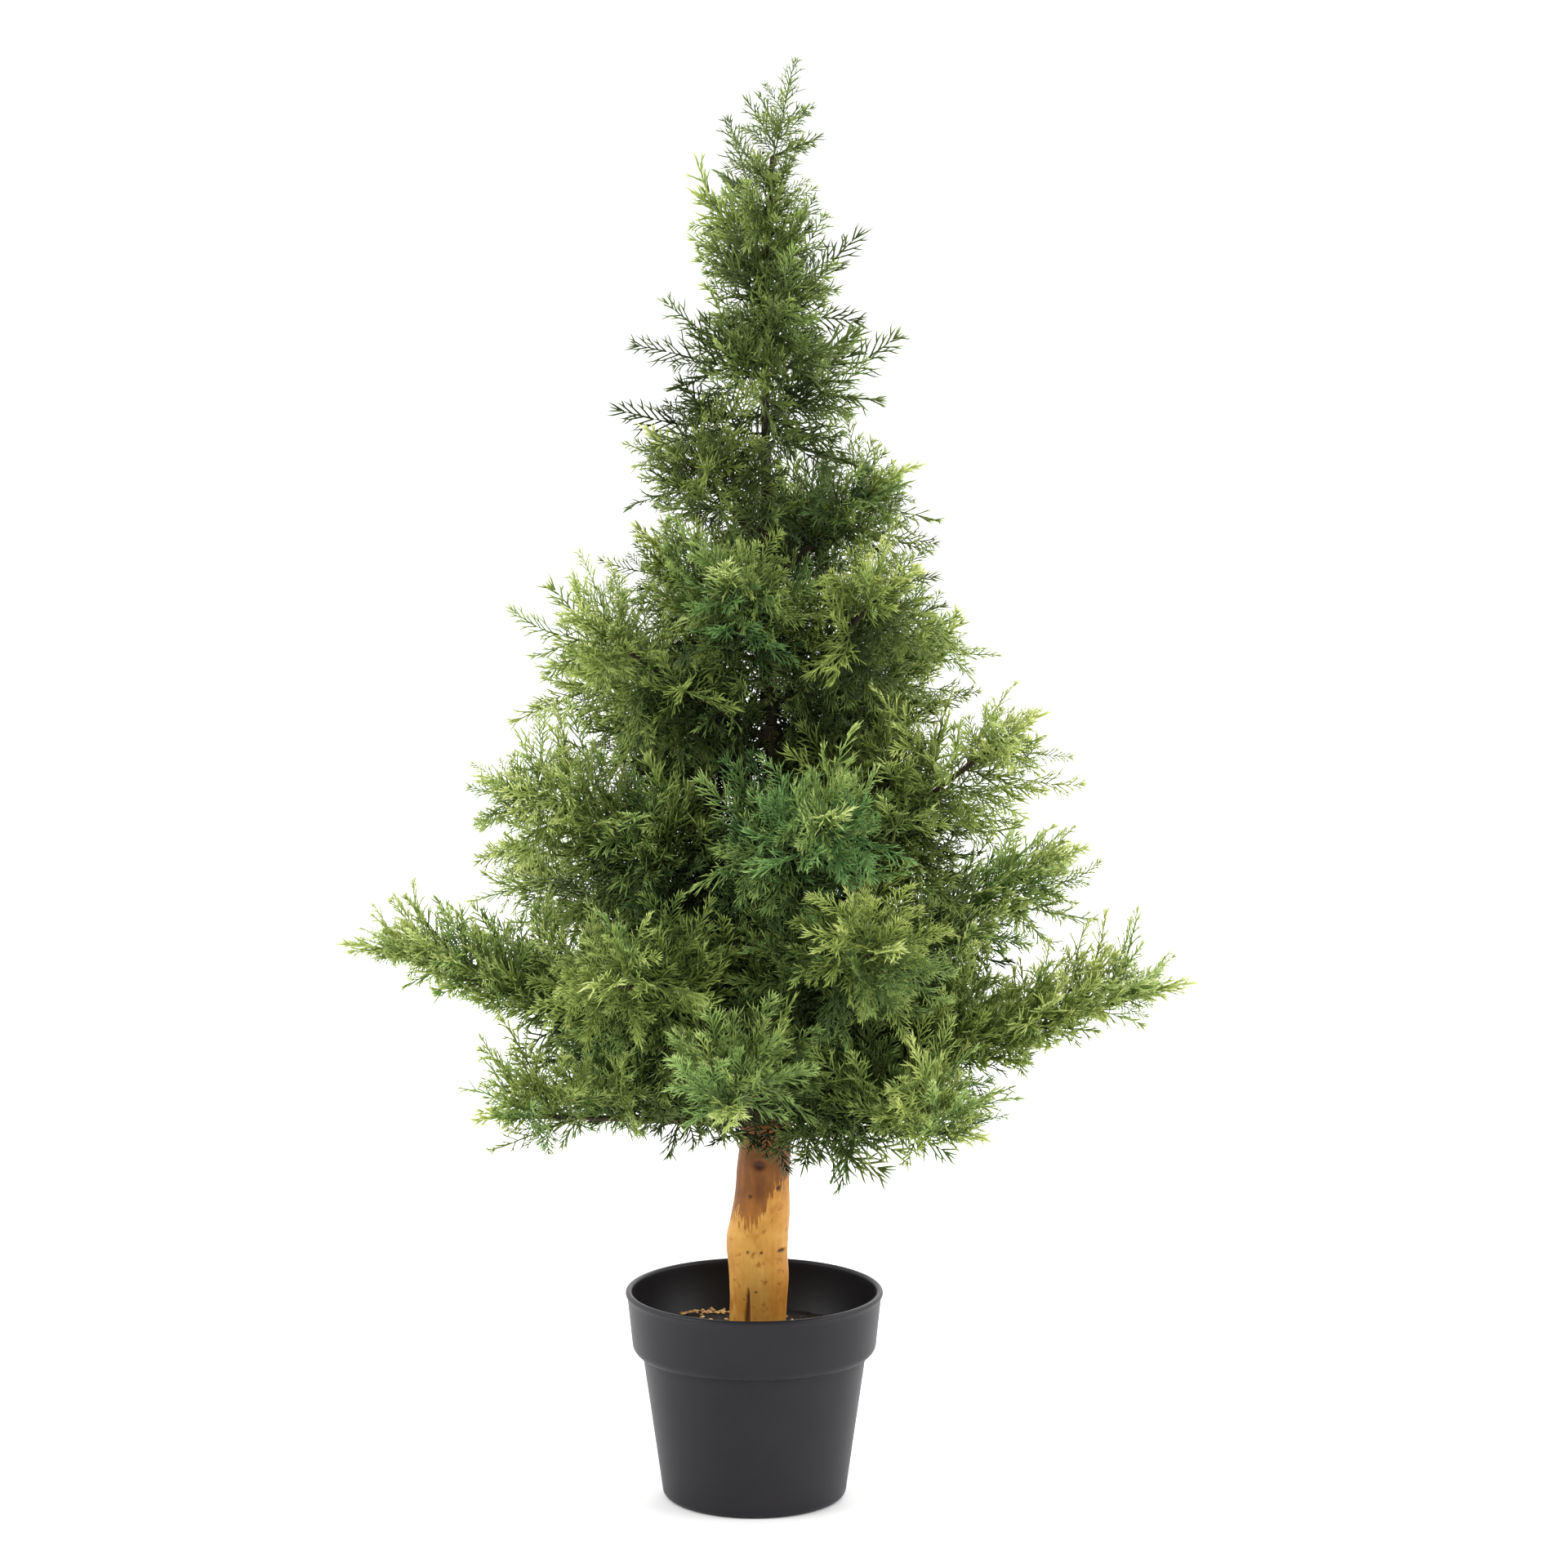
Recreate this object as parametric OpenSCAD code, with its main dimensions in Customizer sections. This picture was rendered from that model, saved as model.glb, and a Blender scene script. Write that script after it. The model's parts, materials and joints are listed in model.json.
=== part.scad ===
// Artificial tabletop tree: cedar-type sprays on bendable wire branches,
// a peeled wooden trunk with a wire leader, cast in cement in a nursery pot.
// Origin: centre of the pot's underside. +Z is up, -Y is the front, +X is the right.

/* [Pot] */
// Outer diameter over the rolled lip
pot_rim_d = 160; // [150:1:180]
// Height of the pot
pot_h = 132; // [126:1:140]
// Outer diameter just above the rounded bottom edge
pot_base_d = 115; // [108:1:120]
// Height of the wide band under the lip
pot_band_h = 35; // [30:1:38]
// Wall thickness
pot_wall = 2.2; // [1.8:0.1:2.6]
// Depth of the filler's surface below the lip
fill_depth = 28; // [25:1:32]

/* [Trunk] */
// Diameter of the wooden pole at the pot
trunk_d = 35; // [32:0.5:37]
// Lean of the pole towards the right, in degrees
trunk_lean = 2; // [1:0.1:2.5]
// Height of the pole's top end
trunk_top = 430; // [425:1:435]

/* [Leader] */
// Diameter of the wrapped leader stem
leader_d = 8; // [7:0.5:9]
// Lean of the leader stem back towards the middle, in degrees
leader_lean = -1.2; // [-1.5:0.1:0]
// Height at which the thin bendable top begins
crown_joint_z = 664; // [662:1:670]
// Diameter of the thin top wire
crown_wire_d = 5; // [4:0.5:6]

/* [Branches] */
// Diameter of a branch wire
wire_d = 4; // [3:0.5:4.5]
// Share of the full branch length that is built
crown_spread = 1; // [0.8:0.05:1]
// Thickness of a moulded spray
spray_t = 1.6; // [1.2:0.1:2]
// Angle between a side spray and its wire, in degrees
spray_angle = 52; // [45:1:58]
// Spacing of the sprays along a wire
spray_pitch = 17; // [16:1:20]

/* [Hidden] */
// Number of jointed branches
BRANCH_COUNT = 25;

// One row for each branch: root height, azimuth (0 right, 90 back, 180 left, 270 front),
// length from the bend to the tip, and rise above the horizontal, in degrees.
BRANCHES = [
    // bottom tier, with the two long arms
    [254, 184, 264, 24],
    [252, 354, 260, 19],
    [240, 214, 196, 9],
    [236, 311, 188, 9],
    [244, 264, 186, 13],
    [248, 130, 215, 13],
    [242, 66, 215, 11],
    // second tier
    [314, 26, 226, 22],
    [312, 156, 196, 28],
    [306, 238, 190, 18],
    [322, 296, 186, 20],
    [298, 98, 205, 23],
    // third tier
    [372, 194, 198, 30],
    [388, 338, 204, 37],
    [385, 286, 162, 30],
    [384, 60, 180, 32],
    // fourth tier
    [440, 144, 184, 30],
    [456, 26, 160, 36],
    [484, 204, 158, 35],
    // fifth tier
    [506, 320, 146, 41],
    [523, 254, 132, 40],
    [538, 168, 108, 44],
    [552, 84, 122, 42],
    // sixth tier
    [584, 352, 110, 42],
    [608, 206, 104, 44]
];

// Sprays on the thin top wire: height, azimuth, length, rise.
CROWN_SPRAYS = [
    [680, 8, 102, 26],
    [694, 205, 88, 42],
    [706, 118, 80, 46],
    [720, 296, 76, 48],
    [740, 26, 76, 48],
    [758, 178, 74, 42],
    [776, 262, 60, 54],
    [794, 60, 56, 60],
    [810, 214, 54, 62]
];

// Pot: body flares from the base to the step, then the band flares to the lip.
lip_r = 2;
edge_r = 5;
floor_t = 3;
liner_gap = 0.1;
body_flare = 12;
band_undercut = 6;
band_round_h = 8;
lip_overhang = 4;
base_r = pot_base_d / 2;
rim_r = pot_rim_d / 2;
step_z = pot_h - pot_band_h - band_undercut;
step_r = base_r + body_flare;
band_z = step_z + band_round_h;
band_r = rim_r - lip_overhang;

// Contents of the pot
fill_top = pot_h - fill_depth;
filler_t = 8;
cement_top = fill_top - filler_t;

// Trunk: share of trunk_d at each height above the pot's underside.
trunk_foot = 14;
foot_x = -3;
TRUNK = [
    [trunk_foot, 1.0], [100, 1.0], [128, 1.02], [150, 1.07], [165, 1.11], [180, 1.05],
    [200, 0.97], [225, 0.93], [260, 0.90], [340, 0.80], [trunk_top, 0.70]
];
leader_bore = 45;
fit = 0.05;
nail_d = 4;
nail_l = 72;
nail_turn = 45;
NAIL_Z = [38, 58];

// The bend of each branch lies just outside the wood or the tie.
bend_gap = 4;
bend_clear = 0.3;
pin_l = 12;
tie_wall = 2.5;
tie_h = 9;
tie_margin = 10;

// Moulded sprays: a collar on the wire and a flat toothed frond.
collar_wall = 1.2;
collar_l = 6;
collar_turn = 22.5;
stalk_w = 3;
leaf_w = 30;
end_leaf_w = 28;
end_leaf_gap = 0.5;
stalk_share = 0.16;
leaf_skew = 0.8;
leaf_fullness = 0.7;
LEAF_TEETH = 4;
// Each tooth: place on the frond, counted from the middle of the tooth, and share of the width
TOOTH = [[-0.06, 0.55], [0.08, 1]];

// Side sprays of a branch
tip_reach = 38;
last_spray_gap = 8;
bare_l = 52;
bare_share = 0.3;
spray_l = 24;
spray_l_share = 0.22;
side_l_base = 0.75;
side_l_swell = 0.42;
side_l_shift = 0.15;
side_droop = 14;
side_shingle = 20;

// Thin top, with the flat faces of its sprays turned outwards
crown_top = 836;
crown_lean = 2;
crown_shingle = 90;
crown_leaf_w = 26;
crown_end_l = 62;
crown_end_lean = 14;
$fn = 64;

function two(i) = i < 10 ? str("0", i) : str(i);
function trunk_r(z) = lookup(z, TRUNK) * trunk_d / 2;
function top_x() = foot_x + trunk_top * tan(trunk_lean);
function axis_x(z) =
    z < trunk_top ? foot_x + z * tan(trunk_lean) : top_x() + (z - trunk_top) * tan(leader_lean);
function on_trunk(b) = b[0] < trunk_top - tie_margin;
function stem_r(b) = on_trunk(b) ? trunk_r(b[0]) : leader_d / 2 + tie_wall;
function bend_point(b) =
    [axis_x(b[0]) + (stem_r(b) + bend_gap) * cos(b[1]), (stem_r(b) + bend_gap) * sin(b[1]), b[0]];
function wire_l(b) = b[2] * crown_spread - tip_reach;
// Length of a side spray, by its share of the way back from the tip
function side_l(b, share) =
    (spray_l + spray_l_share * b[2]) * (side_l_base + side_l_swell * sin(180 * min(share + side_l_shift, 1)));

// ---- placing ----

module along_trunk() {
    translate([foot_x, 0, 0])
    rotate([0, trunk_lean, 0])
    children();
}

module along_leader(z) {
    translate([axis_x(z), 0, z])
    rotate([0, leader_lean, 0])
    children();
}

// +X runs out along the branch, from its bend.
module at_bend(b) {
    translate(bend_point(b))
    rotate([0, -b[3], b[1]])
    children();
}

// ---- pot and its contents ----

module pot_outline() {
    polygon(concat(
        [[0, 0], [base_r - edge_r, 0]],
        [for (a = [-75:15:0]) [base_r - edge_r + edge_r * cos(a), edge_r + edge_r * sin(a)]],
        [[step_r, step_z]],
        [for (a = [30:15:90])
            [step_r + (band_r - step_r) * sin(a), step_z + (band_z - step_z) * (1 - cos(a))]],
        [[rim_r - lip_r, pot_h - 2 * lip_r]],
        [for (a = [-60:20:180]) [rim_r - lip_r + lip_r * cos(a), pot_h - lip_r + lip_r * sin(a)]],
        [[rim_r - 2 * lip_r, pot_h - 2 * lip_r], [band_r - pot_wall, band_z]],
        [[step_r - pot_wall, step_z], [base_r - pot_wall, edge_r], [base_r - edge_r, floor_t]],
        [[0, floor_t]]
    ));
}

module pot() {
    color([0.13, 0.13, 0.14])
    rotate_extrude()
    pot_outline();
}

module nails(r) {
    along_trunk()
    for (i = [0:1])
        translate([0, 0, NAIL_Z[i]])
        rotate([90, 0, nail_turn + 90 * i])
        cylinder(h = nail_l, r = r, center = true);
}

module cement_ballast() {
    color([0.62, 0.61, 0.58])
    difference() {
        rotate_extrude()
        polygon([
            [0, floor_t],
            [base_r - edge_r - liner_gap, floor_t],
            [base_r - pot_wall - liner_gap, edge_r],
            [step_r - pot_wall - liner_gap, step_z],
            [step_r - pot_wall - liner_gap, cement_top],
            [0, cement_top]
        ]);
        along_trunk()
        translate([0, 0, trunk_foot - fit])
        cylinder(h = pot_h, r = trunk_d / 2 + fit);
        nails(nail_d / 2 + fit);
    }
}

module filler() {
    color([0.11, 0.09, 0.08])
    difference() {
        translate([0, 0, cement_top])
        cylinder(h = filler_t, r = step_r - pot_wall - liner_gap);
        along_trunk()
        cylinder(h = pot_h, r = lookup(fill_top, TRUNK) * trunk_d / 2 + 2 * fit);
    }
}

// ---- stem ----

module trunk() {
    color([0.80, 0.58, 0.34])
    difference() {
        along_trunk()
        rotate_extrude()
        polygon(concat(
            [[0, trunk_foot]],
            [for (p = TRUNK) [p[1] * trunk_d / 2, p[0]]],
            [[0, trunk_top]]
        ));
        along_leader(trunk_top)
        translate([0, 0, -leader_bore - fit])
        cylinder(h = 2 * leader_bore, r = leader_d / 2 + fit);
        nails(nail_d / 2 + fit);
        for (b = BRANCHES)
            if (on_trunk(b))
                at_bend(b)
                rotate([0, -90, 0])
                cylinder(h = pin_l + wire_d, r = wire_d / 2 + fit);
    }
}

module anchor_nails() {
    color([0.55, 0.55, 0.56])
    nails(nail_d / 2);
}

module branch_pins() {
    color([0.22, 0.15, 0.10])
    for (b = BRANCHES)
        if (on_trunk(b))
            at_bend(b)
            translate([-wire_d / 2 - bend_clear, 0, 0])
            rotate([0, -90, 0])
            cylinder(h = pin_l, r = wire_d / 2);
}

module leader_stem() {
    color([0.20, 0.13, 0.09])
    along_leader(trunk_top)
    translate([0, 0, -leader_bore])
    cylinder(
        h = leader_bore + crown_joint_z - trunk_top - crown_wire_d / 2 - bend_clear,
        r = leader_d / 2
    );
}

// Wrapped ties: a sleeve round the leader with the fixed end of the branch wire.
module leader_ties() {
    color([0.25, 0.17, 0.11])
    for (b = BRANCHES)
        if (!on_trunk(b))
            difference() {
                union() {
                    along_leader(b[0])
                    cylinder(h = tie_h, r = leader_d / 2 + tie_wall, center = true);
                    at_bend(b)
                    translate([-wire_d / 2 - bend_clear, 0, 0])
                    rotate([0, -90, 0])
                    cylinder(h = bend_gap, r = wire_d / 2);
                }
                along_leader(b[0])
                cylinder(h = 3 * tie_h, r = leader_d / 2 + fit, center = true);
            }
}

// ---- sprays ----

// Flat frond along +X with toothed edges, in its own middle plane.
module leaf(l, w) {
    teeth = [for (i = [0:LEAF_TEETH - 1]) (i + 0.5) / LEAF_TEETH];
    function bow(t) = stalk_w / 2 + (w / 2 - stalk_w / 2) * pow(sin(180 * pow(t, leaf_skew)), leaf_fullness);
    side = [
        for (t = teeth)
            for (p = TOOTH)
                [l * (stalk_share + (1 - stalk_share) * (t + p[0])), bow(t + p[0]) * p[1]]
    ];
    translate([0, 0, -spray_t / 2])
    linear_extrude(spray_t)
    polygon(concat(
        [[0, stalk_w / 2]],
        side,
        [[l, 0]],
        [for (i = [len(side) - 1:-1:0]) [side[i][0], -side[i][1]]],
        [[0, -stalk_w / 2]]
    ));
}

// One moulded spray with its collar, for a wire along +X.
// It leaves the wire at an angle to +X, towards +Y.
module spray(l, w, d, angle, shingle) {
    flat_r = (d / 2 + 2 * fit) / cos(collar_turn);
    difference() {
        union() {
            rotate([collar_turn, 0, 0])
            rotate([0, 90, 0])
            cylinder(h = collar_l, r = flat_r + collar_wall, center = true, $fn = 8);
            rotate([0, 0, angle])
            translate([d / 2, 0, 0])
            rotate([shingle, 0, 0])
            leaf(l - d / 2, w);
        }
        rotate([collar_turn, 0, 0])
        rotate([0, 90, 0])
        cylinder(h = 4 * collar_l, r = flat_r, center = true, $fn = 8);
    }
}

// End spray, which carries on from the wire's end.
module end_spray(l, w) {
    translate([end_leaf_gap, 0, 0])
    leaf(l, w);
}

// Side sprays left and right in turn, longest in the middle of the branch.
module branch_sprays(b) {
    last = wire_l(b) - last_spray_gap;
    first = min(bare_l, bare_share * b[2]);
    count = floor((last - first) / spray_pitch);
    for (i = [0:count]) {
        side = i % 2 == 0 ? 1 : -1;
        translate([last - i * spray_pitch, 0, 0])
        rotate([-side * side_droop, 0, 0])
        mirror([0, side < 0 ? 1 : 0, 0])
        spray(side_l(b, i / max(count, 1)), leaf_w, wire_d, spray_angle, side_shingle);
    }
    translate([wire_l(b), 0, 0])
    end_spray(tip_reach, end_leaf_w);
}

module branch_wire(b) {
    color([0.20, 0.13, 0.09])
    at_bend(b)
    union() {
        sphere(r = wire_d / 2);
        rotate([0, 90, 0])
        cylinder(h = wire_l(b), r = wire_d / 2);
    }
}

module branch_foliage(b) {
    color([0.32, 0.45, 0.22])
    at_bend(b)
    branch_sprays(b);
}

// ---- thin bendable top ----

module at_crown() {
    translate([axis_x(crown_joint_z), 0, crown_joint_z])
    rotate([0, crown_lean, 0])
    children();
}

module crown_wire() {
    color([0.20, 0.13, 0.09])
    at_crown()
    union() {
        sphere(r = crown_wire_d / 2);
        cylinder(h = crown_top - crown_joint_z, r = crown_wire_d / 2);
    }
}

module crown_sprays() {
    color([0.36, 0.50, 0.25])
    at_crown() {
        for (c = CROWN_SPRAYS)
            translate([0, 0, c[0] - crown_joint_z])
            rotate([0, 0, c[1]])
            // +X turns up along the wire, +Y turns outwards
            rotate(a = -120, v = [1, 1, 1])
            spray(c[2], crown_leaf_w, crown_wire_d, 90 - c[3], crown_shingle);
        translate([0, 0, crown_top - crown_joint_z])
        rotate([0, crown_end_lean - 90, 0])
        rotate([90, 0, 0])
        end_spray(crown_end_l, end_leaf_w);
    }
}

pot();
cement_ballast();
filler();
trunk();
anchor_nails();
branch_pins();
leader_stem();
leader_ties();
crown_wire();
crown_sprays();
for (i = [1:BRANCH_COUNT]) {
    branch_wire(BRANCHES[i - 1]);
    branch_foliage(BRANCHES[i - 1]);
}
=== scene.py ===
"""Looks of the artificial tabletop tree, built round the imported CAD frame. Units are metres."""

import json
import math

import bpy
import numpy as np
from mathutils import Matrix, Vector, noise


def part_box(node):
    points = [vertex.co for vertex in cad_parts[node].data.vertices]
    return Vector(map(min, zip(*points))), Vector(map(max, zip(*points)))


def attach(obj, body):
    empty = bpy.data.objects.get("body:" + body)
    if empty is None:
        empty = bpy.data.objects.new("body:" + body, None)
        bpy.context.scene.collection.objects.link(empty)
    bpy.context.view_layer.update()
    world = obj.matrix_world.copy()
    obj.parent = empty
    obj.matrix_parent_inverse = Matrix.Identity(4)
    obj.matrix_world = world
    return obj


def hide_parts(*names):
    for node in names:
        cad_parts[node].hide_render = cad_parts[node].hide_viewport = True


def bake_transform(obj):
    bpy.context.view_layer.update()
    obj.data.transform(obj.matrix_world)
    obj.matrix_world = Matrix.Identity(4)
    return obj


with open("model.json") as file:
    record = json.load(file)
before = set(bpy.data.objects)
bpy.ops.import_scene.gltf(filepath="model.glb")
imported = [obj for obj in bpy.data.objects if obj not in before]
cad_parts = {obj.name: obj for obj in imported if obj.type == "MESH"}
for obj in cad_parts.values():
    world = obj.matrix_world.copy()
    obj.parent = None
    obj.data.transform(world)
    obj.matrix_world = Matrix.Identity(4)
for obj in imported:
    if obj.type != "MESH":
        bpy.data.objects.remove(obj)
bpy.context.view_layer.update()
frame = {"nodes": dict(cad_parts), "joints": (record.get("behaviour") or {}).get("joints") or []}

MM = 0.001
ROOT = "trunk_and_pot"
UP = np.array([0.0, 0.0, 1.0])
GOLDEN = math.radians(137.5)
SEED = 7

# Mesh resolution
TUBE_SIDES = 10
LATHE_STEPS = 160
TRUNK_VOXEL = 1.0 * MM

# Spray anatomy: forked fingers make a sprig, sprigs on a stem make a spray
SPRIG_KINDS = 8
SPRAY_KINDS = 12
FINGERS = 14
SPRIGS_EACH = 7
SPRIG = 48 * MM
SPRAY = 80 * MM
FINGER_R = 0.66 * MM
STEM_R = 0.95 * MM
SPRAY_PITCH = 4.3 * MM

# Reach of the longest branch
LONGEST = 264 * MM
# Branches moulded in a bluer green, and how blue
BLUISH = {1: 0.35, 5: 0.45, 6: 0.55, 12: 0.5, 15: 0.65, 21: 0.5}
# Branches painted lighter (above 1) or darker (below 1): partly their own moulded green, partly painted
# light on the lit ones and painted shade on the shaded ones
GREEN_LIGHT_AND_SHADE = {2: 1.15, 10: 0.8, 11: 0.9, 17: 0.9, 20: 0.85, 22: 0.85, 23: 0.7, 25: 0.85}
# Branches with a fuller or a slimmer end, in degrees of spread
FULLER = {2: 5, 8: -26, 14: -10}
# Branches whose sprays lie lower than the others, or higher (negative), and by how much
LEVEL = {2: 0.15, 3: 0.1, 5: -0.55, 8: 0.35, 14: 0.25, 17: 0.30, 19: 0.35}
# Branch with two large sprigs hanging beside the pole, painted dark as painted shade: place on the wire,
# fall, length, green
HANGING = 4
HANGING_SPRIGS = ((12 * MM, -0.42, 66 * MM, 0.22), (30 * MM, -0.24, 62 * MM, 0.48))

CROWN_SPRAYS = 34
CRUMB_COUNT = 70
CRUMBS_IN_LINE = 42

# Marks on the trunk's front: sideways place, height, half width, half height, depth, all in mm
TRUNK_MARKS = [
    (-3.0, 215.0, 4.2, 3.3, 1.0),
    (9.6, 200.0, 1.7, 2.0, 0.8),
    (-7.4, 195.0, 1.3, 1.3, 0.5),
    (14.0, 160.0, 2.6, 1.5, 0.8),
    (-6.1, 160.0, 0.9, 1.1, 0.3),
    (2.2, 160.0, 0.9, 1.0, 0.3),
    (-2.0, 134.5, 0.8, 0.8, 0.3),
]
# Drying crack in the trunk, in mm
CRACK_X, CRACK_LOW, CRACK_HIGH, CRACK_WIDE, CRACK_DEEP = -6.8, 110.0, 137.0, 2.0, 1.3
# Outside radius of the trunk at a few heights, and lower edge of its stain across the front, in mm
TRUNK_HEIGHTS = (14, 100, 128, 150, 165, 180, 200, 225, 260, 340, 430)
TRUNK_RADII = np.array((1, 1, 1.02, 1.07, 1.11, 1.05, 0.97, 0.93, 0.90, 0.80, 0.70)) * 17.5
STAIN_ACROSS = (-17, -12, -6, -3, 0, 4, 9, 14)
STAIN_HEIGHTS = (185, 180, 177, 174, 184, 193, 200, 205)

# Brightness of the room: before the tree, behind it, and as the camera sees it
ROOM_FRONT, ROOM_BACK, ROOM_SEEN = 0.66, 1.70, 1.15
CAMERA_PLACE = (0.0185, -3.8, 1.135)
CAMERA_AIM = (0.0185, 0, 0.4515)
CAMERA_LENS = 144.4


# ---------------------------------------------------------------- small helpers


def unit(v):
    v = np.asarray(v, float)
    return v / max(np.linalg.norm(v), 1e-12)


def smoothstep(lo, hi, x):
    t = np.clip((np.asarray(x, float) - lo) / (hi - lo), 0, 1)
    return t * t * (3 - 2 * t)


def vertices(mesh):
    co = np.empty(len(mesh.vertices) * 3, np.float32)
    mesh.vertices.foreach_get("co", co)
    return co.reshape(-1, 3).astype(float)


def node_points(node):
    return vertices(frame["nodes"][node].data)


def axis_ends(points, margin):
    """Middles of the points within a margin of the lowest one, and of the highest one."""
    z = points[:, 2]
    return points[z < z.min() + margin].mean(0), points[z > z.max() - margin].mean(0)


def add_attributes(mesh, attributes):
    """Stores one number per vertex under each name."""
    for key, values in attributes.items():
        layer = mesh.attributes.new(key, "FLOAT", "POINT")
        layer.data.foreach_set("value", np.asarray(values, np.float32))


def make_object(name, verts, faces, material, body=ROOT, smooth=True, **attributes):
    """Makes a mesh piece from arrays: faces is an (n, 3) or (n, 4) array of indices."""
    mesh = bpy.data.meshes.new(name)
    faces = np.asarray(faces, np.int32)
    count, corners = faces.shape
    mesh.vertices.add(len(verts))
    mesh.vertices.foreach_set("co", np.asarray(verts, np.float32).ravel())
    mesh.loops.add(count * corners)
    mesh.loops.foreach_set("vertex_index", faces.ravel())
    mesh.polygons.add(count)
    mesh.polygons.foreach_set("loop_start", np.arange(count, dtype=np.int32) * corners)
    mesh.polygons.foreach_set("use_smooth", np.full(count, smooth))
    mesh.update(calc_edges=True)
    add_attributes(mesh, attributes)
    mesh.materials.append(material)
    piece = bpy.data.objects.new(name, mesh)
    bpy.context.scene.collection.objects.link(piece)
    if body:
        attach(piece, body)
    return piece


def frame_along(direction):
    """Two unit vectors across a direction, the second as close to UP as it can be."""
    side = np.cross(UP, direction)
    if np.linalg.norm(side) < 1e-3:
        side = np.cross([1.0, 0.0, 0.0], direction)
    side = unit(side)
    return side, unit(np.cross(direction, side))


def tube_faces(rings, sides):
    """Triangles of a closed tube whose vertices are its rings, then a point at either end."""
    tris = []
    for i in range(rings - 1):
        for k in range(sides):
            a, b = i * sides + k, i * sides + (k + 1) % sides
            tris += [(a, b, b + sides), (a, b + sides, a + sides)]
    foot, head, top = rings * sides, rings * sides + 1, (rings - 1) * sides
    for k in range(sides):
        j = (k + 1) % sides
        tris += [(foot, j, k), (head, top + k, top + j)]
    return np.array(tris)


def sweep(path, radii, wobble, sides=TUBE_SIDES):
    """Closed tube along a path; wobble scales the radius by ring number and angle."""
    path = np.asarray(path, float)
    tangents = np.gradient(path, axis=0)
    side = frame_along(unit(tangents[0]))[0]
    a = np.arange(sides) * 2 * math.pi / sides
    rings = []
    for i, (p, t) in enumerate(zip(path, tangents)):
        t = unit(t)
        side = unit(side - t * (side @ t))
        up = np.cross(t, side)
        r = radii[i] * wobble(i, a)
        rings.append(p + np.outer(np.cos(a) * r, side) + np.outer(np.sin(a) * r, up))
    foot = path[0] - unit(tangents[0]) * radii[0] * 0.3
    head = path[-1] + unit(tangents[-1]) * radii[-1] * 0.6
    return np.vstack(rings + [foot, head]), tube_faces(len(path), sides)


def lathe(profile):
    """Turns an outline of (radius, height) points, from axis to axis, about Z."""
    inner = [p for p in profile if p[0] > 1e-7]
    a = np.arange(LATHE_STEPS) * 2 * math.pi / LATHE_STEPS
    level = np.ones(LATHE_STEPS)
    rings = [np.column_stack([r * np.cos(a), r * np.sin(a), z * level]) for r, z in inner]
    verts = np.vstack(rings + [[0, 0, profile[0][1]], [0, 0, profile[-1][1]]])
    return verts, tube_faces(len(inner), LATHE_STEPS)


# ---------------------------------------------------------------- materials


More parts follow.
